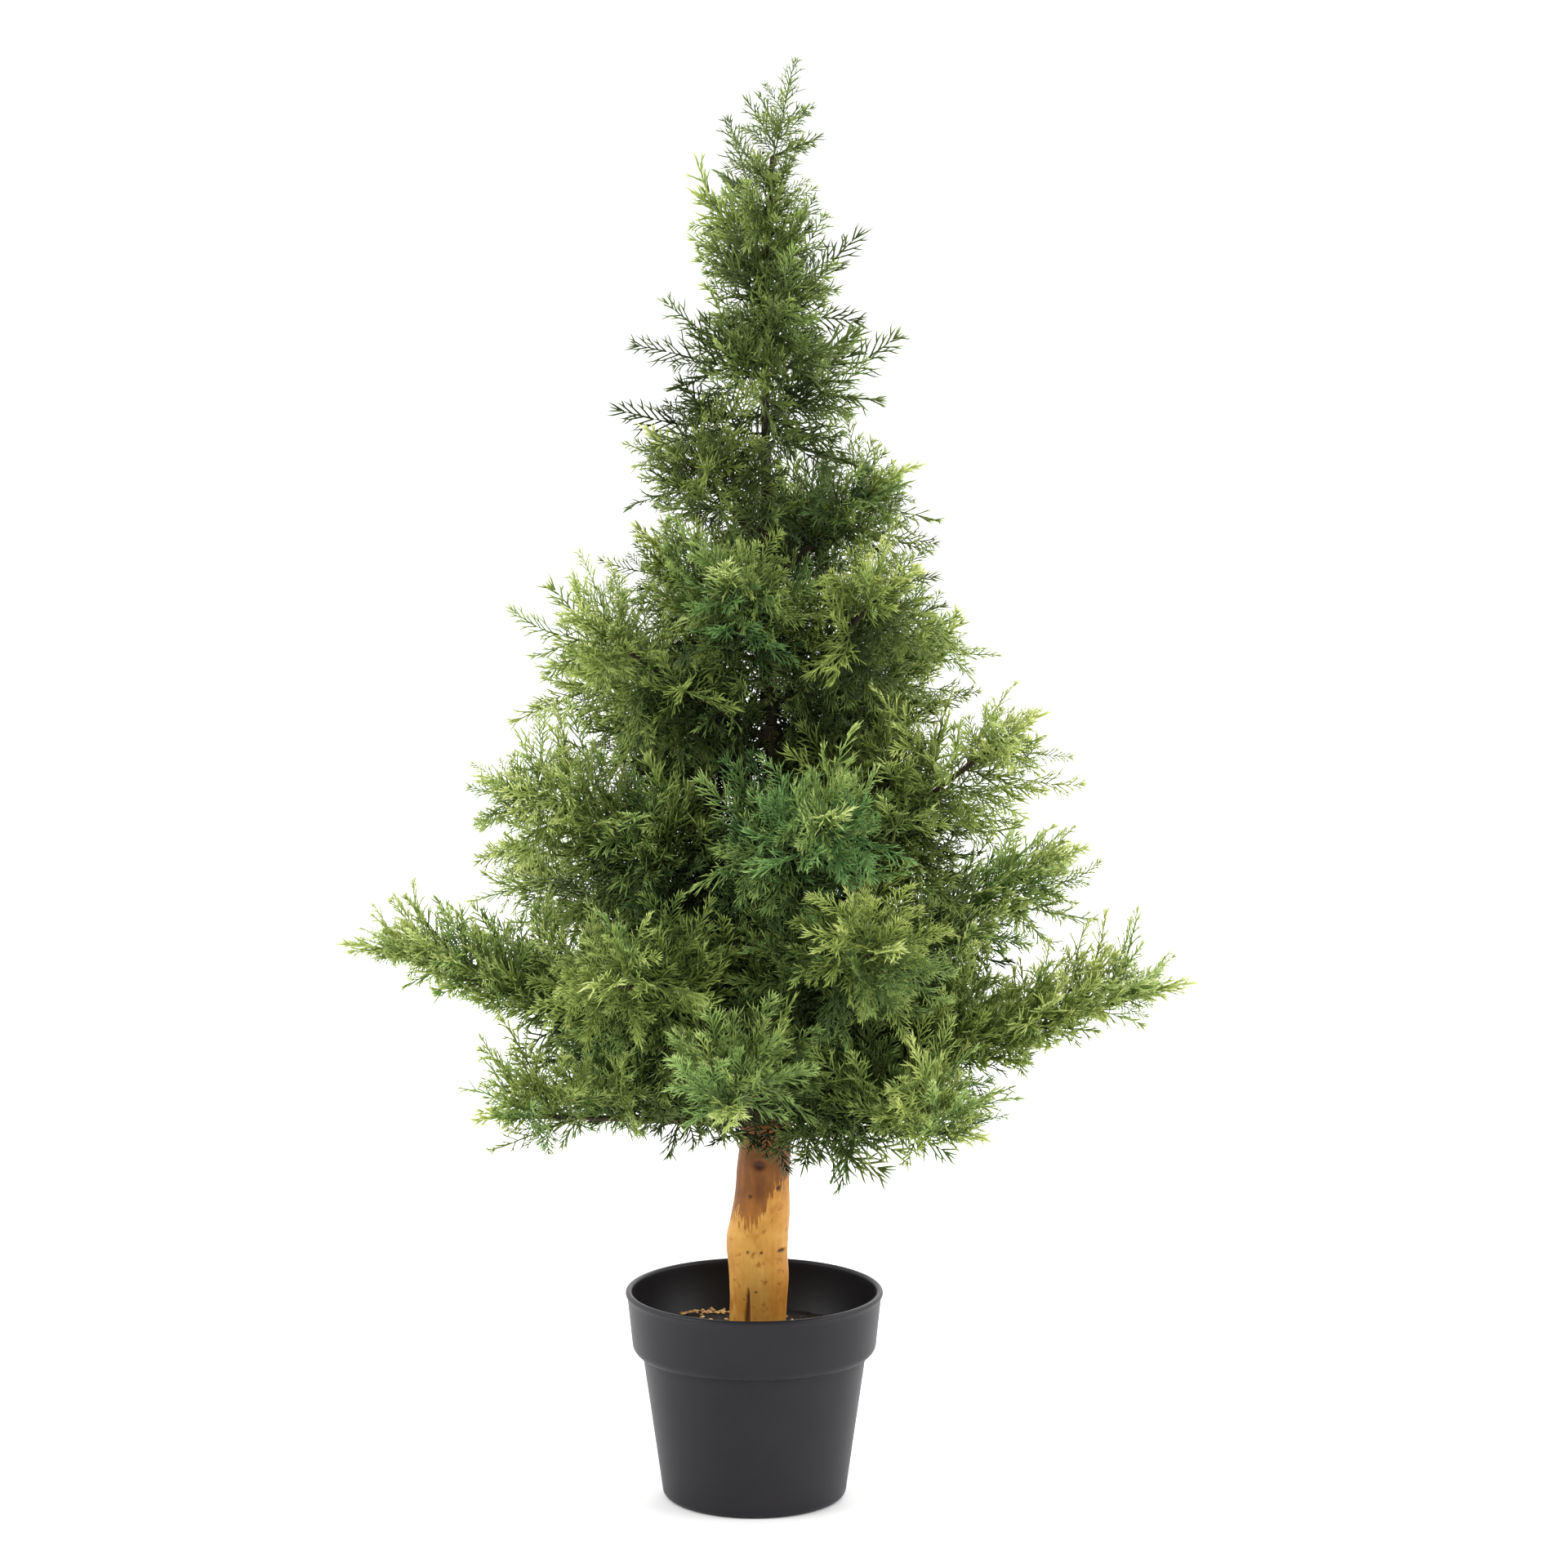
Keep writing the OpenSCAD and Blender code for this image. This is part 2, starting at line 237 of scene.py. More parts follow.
class Nodes:
    """Short calls for building one node material."""

    def __init__(self, name):
        self.material = bpy.data.materials.new(name)
        self.material.use_nodes = True
        self.tree = self.material.node_tree
        self.tree.nodes.clear()
        self.shader = self.tree.nodes.new("ShaderNodeBsdfPrincipled")
        out = self.tree.nodes.new("ShaderNodeOutputMaterial")
        self.link(self.shader.outputs[0], out.inputs["Surface"])
        self.place = self.tree.nodes.new("ShaderNodeTexCoord").outputs["Object"]

    def link(self, a, b):
        self.tree.links.new(a, b)

    def feed(self, socket, value):
        """Links a socket or sets a constant."""
        if isinstance(value, bpy.types.NodeSocket):
            self.link(value, socket)
        else:
            socket.default_value = value

    def set(self, **values):
        """Sets the shader's inputs by name, with _ for a space."""
        for key, value in values.items():
            self.feed(self.shader.inputs[key.replace("_", " ")], value)

    def attribute(self, name):
        n = self.tree.nodes.new("ShaderNodeAttribute")
        n.attribute_name = name
        return n.outputs["Fac"]

    def stretched(self, x, y, z):
        """Object coordinates scaled along each axis."""
        n = self.tree.nodes.new("ShaderNodeMapping")
        self.link(self.place, n.inputs["Vector"])
        n.inputs["Scale"].default_value = (x, y, z)
        return n.outputs[0]

    def noise(self, scale, detail=4, rough=0.55, distort=0.0, vector=None):
        n = self.tree.nodes.new("ShaderNodeTexNoise")
        self.link(vector or self.place, n.inputs["Vector"])
        n.inputs["Scale"].default_value = scale
        n.inputs["Detail"].default_value = detail
        n.inputs["Roughness"].default_value = rough
        n.inputs["Distortion"].default_value = distort
        return n.outputs["Fac"]

    def cells(self, scale):
        n = self.tree.nodes.new("ShaderNodeTexVoronoi")
        self.link(self.place, n.inputs["Vector"])
        n.inputs["Scale"].default_value = scale
        return n.outputs["Distance"]

    def ramp(self, value, *stops):
        """Colour by value, from stops of (position, colour)."""
        n = self.tree.nodes.new("ShaderNodeValToRGB")
        self.feed(n.inputs["Fac"], value)
        bar = n.color_ramp
        while len(bar.elements) < len(stops):
            bar.elements.new(0.5)
        for e, (at, colour) in zip(bar.elements, stops):
            e.position = at
            e.color = (*colour, 1)
        return n.outputs["Color"]

    def math(self, operation, a, b, c=0.5):
        n = self.tree.nodes.new("ShaderNodeMath")
        n.operation = operation
        for socket, value in zip(n.inputs, (a, b, c)):
            self.feed(socket, value)
        return n.outputs[0]

    def span(self, value, lo, hi, to_lo=0.0, to_hi=1.0):
        """Smooth step of a value from lo..hi to to_lo..to_hi."""
        n = self.tree.nodes.new("ShaderNodeMapRange")
        n.interpolation_type = "SMOOTHSTEP"
        for socket, v in zip(n.inputs, (value, lo, hi, to_lo, to_hi)):
            self.feed(socket, v)
        return n.outputs[0]

    def mix(self, factor, a, b):
        """Colour between a and b, each a socket or an (r, g, b)."""
        n = self.tree.nodes.new("ShaderNodeMix")
        n.data_type = "RGBA"
        self.feed(n.inputs["Factor"], factor)
        for socket, value in ((n.inputs[6], a), (n.inputs[7], b)):
            self.feed(socket, (*value, 1) if isinstance(value, tuple) else value)
        return n.outputs[2]

    def bump(self, height, strength, distance):
        n = self.tree.nodes.new("ShaderNodeBump")
        n.inputs["Strength"].default_value = strength
        n.inputs["Distance"].default_value = distance
        self.link(height, n.inputs["Height"])
        self.link(n.outputs[0], self.shader.inputs["Normal"])


def foliage_material():
    """Green plastic; tone runs from foot to tip, the second attribute lightens it with painted light and
    shade and a random tint of each spray, and cool moves it to the bluer green.
    """
    m = Nodes("foliage_plastic")
    tone, fresh, cool = m.attribute("tone"), m.attribute("fresh"), m.attribute("cool")
    lift = m.math("MULTIPLY_ADD", m.noise(38, 2), 0.24, -0.12)
    level = m.math("MULTIPLY", fresh, m.math("MULTIPLY_ADD", tone, 0.72, 0.28))
    level = m.math("ADD", level, m.math("MULTIPLY_ADD", tone, 0.16, lift))
    warm = m.ramp(
        level,
        (0.00, (0.033, 0.043, 0.013)),
        (0.25, (0.151, 0.202, 0.041)),
        (0.50, (0.342, 0.428, 0.094)),
        (0.75, (0.597, 0.663, 0.194)),
        (1.00, (0.796, 0.831, 0.377)),
    )
    cold = m.ramp(
        level,
        (0.00, (0.017, 0.041, 0.018)),
        (0.25, (0.084, 0.184, 0.057)),
        (0.50, (0.209, 0.388, 0.116)),
        (0.75, (0.433, 0.622, 0.214)),
        (1.00, (0.653, 0.785, 0.357)),
    )
    m.set(Base_Color=m.mix(cool, warm, cold), Roughness=0.40, Specular_IOR_Level=0.22)
    return m.material


def wrap_material():
    """Paper wrapped round a wire: dark brown and fibrous."""
    m = Nodes("wire_wrap")
    fibres = m.noise(420, 4, 0.6, vector=m.stretched(1, 1, 0.25))
    blotch = m.noise(60, 3)
    colour = m.ramp(
        m.math("MULTIPLY_ADD", fibres, 0.6, m.math("MULTIPLY", blotch, 0.4)),
        (0.30, (0.012, 0.009, 0.007)),
        (0.55, (0.045, 0.030, 0.018)),
        (0.75, (0.105, 0.068, 0.038)),
    )
    m.set(Base_Color=colour, Roughness=m.span(fibres, 0.3, 0.7, 0.62, 0.85), Specular_IOR_Level=0.3)
    m.bump(fibres, 0.5, 0.0006)
    return m.material


def wood_material():
    """Peeled pole: golden below, brown stain above a ragged edge, dark knots, and a drying crack painted
    dark as painted shade.
    """
    m = Nodes("peeled_wood")
    grain = m.noise(70, 6, 0.6, 0.4, m.stretched(1, 1, 0.16))
    fine = m.noise(420, 4, 0.6, 0.0, m.stretched(1, 1, 0.10))
    blotch = m.noise(34, 4, 0.6)
    freckle = m.noise(190, 3, 0.5)
    golden = m.ramp(
        m.math("MULTIPLY_ADD", blotch, 0.6, m.math("MULTIPLY", grain, 0.4)),
        (0.30, (0.380, 0.120, 0.014)),
        (0.47, (0.560, 0.250, 0.040)),
        (0.66, (0.740, 0.410, 0.095)),
    )
    golden = m.mix(m.span(freckle, 0.58, 0.72, 0, 0.75), golden, (0.33, 0.090, 0.014))
    golden = m.mix(m.span(m.noise(62, 3, 0.55), 0.56, 0.68, 0, 0.5), golden, (0.42, 0.130, 0.018))
    golden = m.mix(m.span(fine, 0.56, 0.80, 0, 0.35), golden, (0.42, 0.17, 0.045))
    stained = m.ramp(
        m.math("MULTIPLY_ADD", grain, 0.6, m.math("MULTIPLY", blotch, 0.4)),
        (0.30, (0.080, 0.023, 0.004)),
        (0.48, (0.205, 0.071, 0.012)),
        (0.66, (0.410, 0.158, 0.027)),
    )
    streak = m.noise(620, 4, 0.6, 0.0, m.stretched(1, 1, 0.16))
    ragged = m.noise(90, 5, 0.7, 0.3, m.stretched(1, 1, 0.35))
    edge = m.math("ADD", m.attribute("stain"), m.math("MULTIPLY_ADD", streak, 4.4, -2.2))
    edge = m.math("ADD", edge, m.math("MULTIPLY_ADD", ragged, 2.6, -1.3))
    colour = m.mix(m.span(edge, -0.35, 0.35), golden, stained)
    # dark knots of the wood's own, and painted shade inside the drying crack
    colour = m.mix(m.attribute("knot_and_crack_shade"), colour, (0.075, 0.027, 0.014))
    rough = m.span(grain, 0.3, 0.7, 0.42, 0.65)
    m.set(Base_Color=colour, Roughness=rough, Specular_IOR_Level=0.22)
    height = m.math("MULTIPLY_ADD", fine, 0.5, m.math("MULTIPLY", grain, 0.6))
    m.bump(height, 0.45, 0.0009)
    return m.material


def pot_material():
    """Matte moulded plastic with a fine grain and a few scuffs; its inside is painted darker as painted
    shade.
    """
    m = Nodes("pot_plastic")
    grain = m.noise(1500, 3, 0.6)
    cloud = m.noise(14, 3, 0.5)
    scuff = m.span(m.noise(120, 5, 0.7, 0.6, m.stretched(0.5, 0.5, 2.2)), 0.66, 0.80)
    base = m.ramp(cloud, (0.3, (0.008, 0.007, 0.010)), (0.7, (0.013, 0.0115, 0.0155)))
    scuffed = m.mix(m.math("MULTIPLY", scuff, 0.30), base, (0.045, 0.042, 0.048))
    # painted shade: the inside of the pot is painted nearly black
    colour = m.mix(m.attribute("inside"), scuffed, (0.004, 0.003, 0.004))
    worn = m.math("MULTIPLY_ADD", grain, 0.5, m.math("MULTIPLY", scuff, 0.5))
    rough = m.span(worn, 0.1, 0.8, 0.44, 0.62)
    m.set(Base_Color=colour, Roughness=rough, Specular_IOR_Level=0.26)
    m.bump(grain, 0.22, 0.0002)
    return m.material


def filler_material():
    """Dark granular top dressing."""
    m = Nodes("dark_filler")
    grit = m.cells(420)
    dust = m.noise(160, 5, 0.65)
    colour = m.ramp(
        dust,
        (0.3, (0.006, 0.005, 0.005)),
        (0.6, (0.020, 0.015, 0.013)),
        (0.8, (0.050, 0.036, 0.028)),
    )
    m.set(Base_Color=colour, Roughness=m.span(grit, 0, 0.6, 0.95, 0.7), Specular_IOR_Level=0.3)
    m.bump(m.math("MULTIPLY_ADD", dust, 0.7, m.math("MULTIPLY", grit, -0.5)), 0.8, 0.0015)
    return m.material


def crumb_material():
    """Fresh wood crumbs, tan to pale."""
    m = Nodes("wood_crumbs")
    spot = m.noise(600, 3)
    colour = m.ramp(
        spot,
        (0.3, (0.42, 0.17, 0.05)),
        (0.5, (0.72, 0.40, 0.15)),
        (0.7, (0.85, 0.62, 0.34)),
    )
    m.set(Base_Color=colour, Roughness=m.span(spot, 0.3, 0.7, 0.6, 0.9))
    m.bump(spot, 0.5, 0.0004)
    return m.material


def cement_material():
    """Grey cast cement with small pits."""
    m = Nodes("cast_cement")
    sand = m.noise(520, 5, 0.7)
    pits = m.cells(160)
    colour = m.ramp(sand, (0.3, (0.22, 0.21, 0.19)), (0.7, (0.46, 0.44, 0.40)))
    # painted shade: the pits are painted darker
    pitted = m.mix(m.span(pits, 0.0, 0.12, 0.6, 0), colour, (0.12, 0.11, 0.10))
    m.set(Base_Color=pitted, Roughness=m.span(sand, 0.3, 0.7, 0.8, 0.97))
    m.bump(m.math("MULTIPLY_ADD", sand, 0.6, m.math("MULTIPLY", pits, 0.5)), 0.6, 0.001)
    return m.material


def nail_material():
    """Drawn steel with patches of rust."""
    m = Nodes("nail_steel")
    drawn = m.noise(300, 4, 0.6, 0.0, m.stretched(0.2, 0.2, 3))
    rust = m.span(m.noise(90, 4, 0.6), 0.58, 0.75)
    steel = m.ramp(drawn, (0.3, (0.30, 0.30, 0.31)), (0.7, (0.52, 0.52, 0.53)))
    m.set(
        Base_Color=m.mix(rust, steel, (0.22, 0.09, 0.04)),
        Metallic=m.span(rust, 0, 1, 1, 0.2),
        Roughness=m.span(drawn, 0.3, 0.7, 0.3, 0.5),
    )
    return m.material


def floor_material():
    m = Nodes("pale_floor")
    colour = m.ramp(m.noise(3, 2), (0.4, (0.93, 0.93, 0.93)), (0.6, (0.95, 0.95, 0.95)))
    m.set(Base_Color=colour, Roughness=0.9)
    return m.material


FOLIAGE = foliage_material()
WRAP = wrap_material()
WOOD = wood_material()
POT = pot_material()
FILLER = filler_material()
CRUMBS = crumb_material()
CEMENT = cement_material()
NAIL = nail_material()


# ---------------------------------------------------------------- moulded sprays


# A spray grows along +X in its own space, with its upper side towards FLAT
FLAT = np.array([0.0, 0.0, 1.0])
# A prong is a bent three-sided spike: corners 0-2 at its foot, 3-5 at its middle, 6 at its tip
PRONG_POINTS = 7
PRONG_TAPER = 0.88
SIDES = [(k, (k + 1) % 3) for k in range(3)]
PRONG = np.array([(2, 1, 0)] + [
    face for k, j in SIDES for face in ((k, j, 3 + j), (k, 3 + j, 3 + k), (3 + k, 3 + j, 6))
])
CORNERS = [(math.cos(a), math.sin(a)) for a in (math.pi / 2, math.pi * 7 / 6, math.pi * 11 / 6)]
# The same faces laid out in one cell of the UV map, foot at the bottom
UV_WIDE = 0.27
UV_LEFT = [0.10 + UV_WIDE * k for k in range(3)]
PRONG_UV = np.array([[(0.5, 0.12), (0.4, 0.12), (0.45, 0.16)]] + [face for x in UV_LEFT for face in (
    [(x, 0.1), (x + UV_WIDE, 0.1), (x + UV_WIDE, 0.5)],
    [(x, 0.1), (x + UV_WIDE, 0.5), (x, 0.5)],
    [(x, 0.5), (x + UV_WIDE, 0.5), (x + 0.13, 0.9)],
)])


def turned(direction, angle):
    """direction turned by an angle about FLAT."""
    return direction * math.cos(angle) + np.cross(FLAT, direction) * math.sin(angle)


def prongs(rows):
    """Vertices and tones of prongs, from rows of (foot, middle, tip, radius, three tones)."""
    verts, tones = [], []
    for foot, middle, tip, r, (t0, t1, t2) in rows:
        side, up = frame_along(unit(tip - foot))
        verts += [foot + (side * c + up * s) * r for c, s in CORNERS]
        verts += [middle + (side * c + up * s) * r * PRONG_TAPER for c, s in CORNERS]
        verts.append(tip)
        tones += [t0] * 3 + [t1] * 3 + [t2]
    return np.array(verts), np.array(tones)


def stem_line(rng, length, joints, bend, ruffle):
    """Points of a slightly bent stem along +X, and the heading at each of them."""
    points, headings = [np.zeros(3)], [np.array([1.0, 0.0, 0.0])]
    for _ in range(joints):
        points.append(points[-1] + headings[-1] * length / joints)
        headings.append(unit(turned(headings[-1], bend / joints) + FLAT * rng.normal(0, ruffle)))
    return points, headings


def on_line(points, u):
    """Point at a share u of a line of equal steps, and the direction there."""
    steps = len(points) - 1
    i = min(int(u * steps), steps - 1)
    return points[i] + (points[i + 1] - points[i]) * (u * steps - i), unit(points[i + 1] - points[i])


def forked_finger(rng, root, along, u, side, forks):
    """Rows of a finger at share u of a sprig, sweeping forward, and of its forks (place, side)."""
    lift = FLAT * rng.normal(0, 0.34)
    longer = 0.38 + 0.08 * math.sin(math.pi * min(u + 0.2, 1)) - 0.14 * u
    reach = SPRIG * longer * rng.uniform(0.8, 1.2)
    turn = side * math.radians(rng.uniform(31, 45) - 13 * u)
    first = unit(turned(along, turn) + lift)
    second = unit(turned(along, turn * 0.62) + lift * 0.7)
    middle = root + first * reach * 0.62
    tone = 0.14 + 0.28 * u
    rows = [(root, middle, middle + second * reach * 0.38, FINGER_R, (tone, tone + 0.22, tone + 0.62))]
    for place, way in forks:
        angle = side * way * math.radians(rng.uniform(20, 31))
        fork = unit(turned(first, angle) + FLAT * rng.normal(0, 0.15))
        foot = root + first * reach * (place + rng.uniform(-0.05, 0.05))
        size = reach * rng.uniform(0.44, 0.58)
        swept = unit(fork + 0.6 * first)
        rows.append((foot, foot + fork * size * 0.6, foot + (0.6 * fork + 0.4 * swept) * size,
                     FINGER_R * 0.85, (tone + 0.08, tone + 0.26, tone + 0.62)))
    return rows


def sprig_kind(rng):
    """Feather, SPRIG long: an axis of two prongs, forked fingers along it and three at its tip."""
    axis, headings = stem_line(rng, SPRIG * 0.84, 4, rng.uniform(-0.6, 0.6), 0.07)
    rows = [(axis[0], axis[1], axis[2] + headings[1] * 2 * MM, FINGER_R * 1.35, (0.0, 0.1, 0.2)),
            (axis[2], axis[3], axis[4] + headings[3] * 2 * MM, FINGER_R * 1.1, (0.2, 0.35, 0.6))]
    for k in range(FINGERS):
        u = 0.05 + 0.93 * (k + rng.uniform(-0.3, 0.3)) / (FINGERS - 1)
        u = float(np.clip(u, 0.03, 0.99))
        root, along = on_line(axis, u)
        forks = [(0.44, 1)] if k % 4 else [(0.32, -1), (0.56, 1)]
        rows += forked_finger(rng, root, along, u, 1 if k % 2 else -1, forks if u < 0.92 else [])
    tip = axis[-1]
    for turn in (-0.32, 0.03, 0.34):
        d = unit(turned(headings[-1], turn) + FLAT * rng.normal(0, 0.12))
        reach = SPRIG * rng.uniform(0.15, 0.21)
        rows.append((tip, tip + d * reach * 0.6, tip + d * reach, FINGER_R * 0.85, (0.45, 0.7, 1.0)))
    return prongs(rows)


def facing_normal(heading, wanted):
    """Unit vector across a heading, as near to the wanted one as it can be."""
    return unit(wanted - heading * (wanted @ heading))


def placed(verts, direction, normal):
    """verts with +X turned to direction and +Z to normal."""
    return (np.outer(verts[:, 0], direction) + np.outer(verts[:, 1], np.cross(normal, direction))
            + np.outer(verts[:, 2], normal))


def spray_kind(rng):
    """One moulded spray, SPRAY long: a stem with alternate sprigs, about flat but ruffled."""
    stem, headings = stem_line(rng, SPRAY - SPRIG * 0.75, 6, rng.uniform(-0.4, 0.4), 0.04)
    parts = [prongs([
        (stem[i], stem[i + 1], stem[i + 2] + headings[i + 1] * 3 * MM, STEM_R * (1 - 0.06 * i),
         (0.01 * i, 0.02 * i + 0.02, 0.03 * i + 0.04)) for i in (0, 2, 4)
    ])]
    for k in range(SPRIGS_EACH):
        last = k == SPRIGS_EACH - 1
        u = 1.0 if last else 0.08 + 0.88 * (k + rng.uniform(-0.25, 0.25)) / (SPRIGS_EACH - 1)
        root, along = on_line(stem, max(u, 0.02))
        side = 1 if k % 2 else -1
        turn = 0.0 if last else side * math.radians(rng.uniform(44, 64) - 16 * u)
        d = unit(turned(along, turn) + FLAT * (0 if last else rng.normal(0, 0.34)))
        n = facing_normal(d, FLAT + rng.normal(0, 0.4, 3))
        size = 0.80 if last else 0.64 + 0.30 * math.sin(math.pi * min(u + 0.25, 1))
        size *= rng.uniform(0.86, 1.1)
        verts, tone = SPRIGS[rng.integers(len(SPRIGS))]
        parts.append((root + placed(verts * size, d, n), np.clip(tone * (0.70 + 0.35 * u), 0, 1)))
    verts = np.concatenate([part[0] for part in parts])
    return verts * (SPRAY / verts[:, 0].max()), np.concatenate([part[1] for part in parts])


library_rng = np.random.default_rng(SEED)
SPRIGS = [sprig_kind(library_rng) for _ in range(SPRIG_KINDS)]
SPRAYS = [spray_kind(library_rng) for _ in range(SPRAY_KINDS)]


class Foliage:
    """Collects placed sprays into one mesh."""

    def __init__(self, seed):
        self.rng = np.random.default_rng(seed)
        self.parts = []

    def add(self, root, direction, wanted, length, curl, fresh, cool, kinds=SPRAYS):
        """Places a spray with its flat side towards wanted, as nearly as it can."""
        verts, tone = kinds[self.rng.integers(len(kinds))]
        local = verts * (length / verts[:, 0].max())
        local[:, 2] += curl * local[:, 0] ** 2 / length
        d = unit(direction)
        world = root + placed(local, d, facing_normal(d, wanted))
        fresh, cool = (np.full(len(tone), np.clip(value, 0, 1)) for value in (fresh, cool))
        self.parts.append((world, tone, fresh, cool))

    def build(self, body):
        """Makes the piece that stands for a body's sprays, each prong in its own cell of the UV map."""
        world, tone, fresh, cool = (np.concatenate(part) for part in zip(*self.parts))
        count = len(world) // PRONG_POINTS
        tris = (PRONG[None] + PRONG_POINTS * np.arange(count)[:, None, None]).reshape(-1, 3)
        piece = make_object(body + "_foliage", world, tris, FOLIAGE, body,
                            tone=tone, fresh=fresh, cool=cool)
        cells = int(math.ceil(math.sqrt(count)))
        corner = np.column_stack([np.arange(count) % cells, np.arange(count) // cells])
        uv = (PRONG_UV.reshape(1, -1, 2) + corner[:, None, :]) / cells
        piece.data.uv_layers.new(name="OFBake").data.foreach_set("uv", uv.astype(np.float32).ravel())
        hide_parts(body + "_sprays")


# ---------------------------------------------------------------- branches


def wire_line(joint):
    """Bend point, unit direction and length of a straight CAD wire, and the reach of its sprays."""
    bend = np.array(joint["pos_m"], float)
    points = node_points(joint["child"] + "_wire")
    sprays = node_points(joint["child"] + "_sprays")
    far = points[np.argmax(np.linalg.norm(points - bend, axis=1))]
    end = points[np.linalg.norm(points - far, axis=1) < 9 * MM]
    direction = unit((end.min(0) + end.max(0)) / 2 - bend)
    length = float(((points - bend) @ direction).max())
    return bend, direction, length, float(((sprays - bend) @ direction).max())


def arched(bend, direction, reach, arch, sway):
    """A gently arched line from the bend, as a function of distance in metres."""
    side, up = frame_along(direction)

    def at(s):
        wave = np.sin(math.pi * np.clip(np.asarray(s) / reach, 0, 1))
        return (bend + np.multiply.outer(s, direction) + np.multiply.outer(arch * wave, up)
                + np.multiply.outer(sway * wave, side))

    return at


def bent_wire(body, at, stations, radii, direction):
    """Wrapped wire along the arched line, from inside its parent to the end of the CAD wire, in place of
    that wire.
    """
    path = np.array([at(s) for s in stations])
    verts, tris = sweep(path, radii, lambda i, a: 1 + 0.05 * np.sin(a + 1.9 * i))
    wire = make_object(body + "_bent_wire", verts, tris, WRAP, body=None)
    start = at(0.0)
    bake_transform(wire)
    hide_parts(body + "_wire")


def plume(leaves, at, reach, span, pitch, sizes, spreads, sag, lift, droop, flat, fresh, cool):
    """Sprays all round a wire; span, sizes, spreads and the painted light and shade of the green run
    from its foot to its tip.

    sag is how far the sprays under the wire hang, lift turns those near its foot up, droop
    bends the outer ones down, and flat keeps their broad sides level.
    """
    rng = leaves.rng
    first, last = span
    count = max(int((last - first) / pitch), 3)
    start = rng.uniform(0, 2 * math.pi)
    for k in range(count):
        s = first + (last - first) * (k + rng.uniform(-0.35, 0.35)) / (count - 1)
        s = float(np.clip(s, first, last))
        u = s / reach
        tangent = unit(at(s + MM) - at(s - MM))
        side, up = frame_along(tangent)
        roll = start + GOLDEN * k + rng.normal(0, 0.3)
        over = math.sin(roll)
        across = unit(math.cos(roll) * side + (0.9 * over if over > 0 else sag * over) * up)
        spread = math.radians(spreads[0] + (spreads[1] - spreads[0]) * u + rng.normal(0, 8))
        heading = math.cos(spread) * tangent + math.sin(spread) * across
        heading = unit(heading + lift * (1 - 0.6 * u) * UP)
        # a spray ends inside the branch's reach, and shortens where it points down
        room = 0.76 * (reach - s) / max(heading @ tangent, 0.36)
        length = (sizes[0] + (sizes[1] - sizes[0]) * u) * rng.uniform(0.82, 1.12)
        length *= 1 + 0.15 * min(heading[2], 0)
        facing = flat * UP + 0.75 * across + rng.normal(0, 0.5, 3)
        # painted light and shade: the green lightens from foot to tip, and sprays above the wire are
        # painted lighter than those under it
        green = fresh[0] + (fresh[1] - fresh[0]) * u + rng.normal(0, 0.12) + 0.15 * across[2]
        curl = rng.uniform(-0.25, 0.12) - droop * (0.4 + 0.6 * u)
        leaves.add(at(s), heading, facing, min(length, max(room, 20 * MM)), curl, green,
                   cool + rng.normal(0, 0.2))


